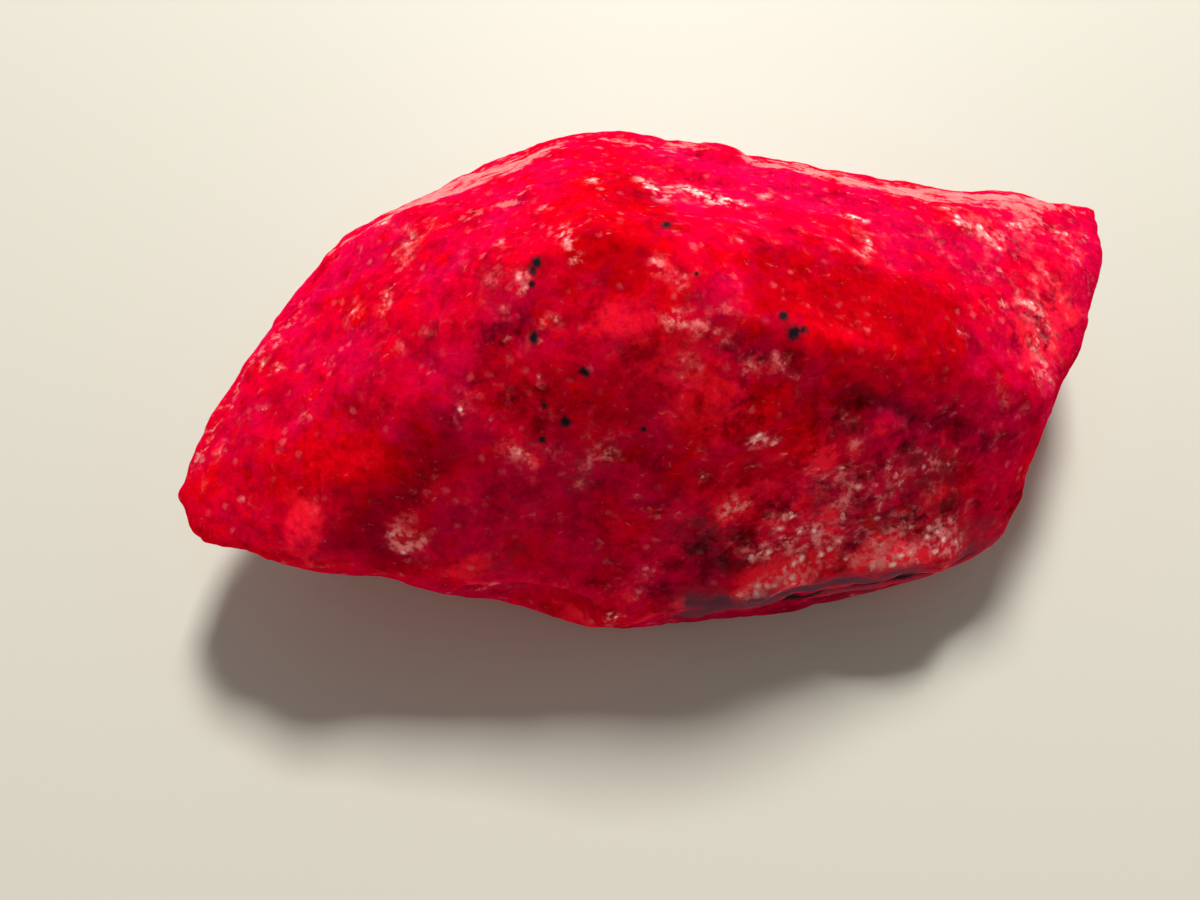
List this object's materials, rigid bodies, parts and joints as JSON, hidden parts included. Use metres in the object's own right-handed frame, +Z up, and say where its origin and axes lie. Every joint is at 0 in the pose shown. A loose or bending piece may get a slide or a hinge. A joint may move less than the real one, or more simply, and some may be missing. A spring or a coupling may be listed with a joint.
{
  "type": "rough ruby stone",
  "caption": "Raw red ruby broken from massive rough: a long, low angular lump with a crest, frosted rear edge and pale bruised patches, lying on a flat break.",
  "frame": {"origin": "on the surface the stone rests on, below the middle of its box", "axes": "+X along the stone's length, towards its square end; +Y towards the frosted rear edge; +Z up"},
  "size_m": [0.0891, 0.0458, 0.0344],
  "materials": {
    "ruby": "translucent red stone with a granular, glinting break"
  },
  "bodies": {
    "root": {"ruby_crystal": "ruby"}
  },
  "joints": []
}
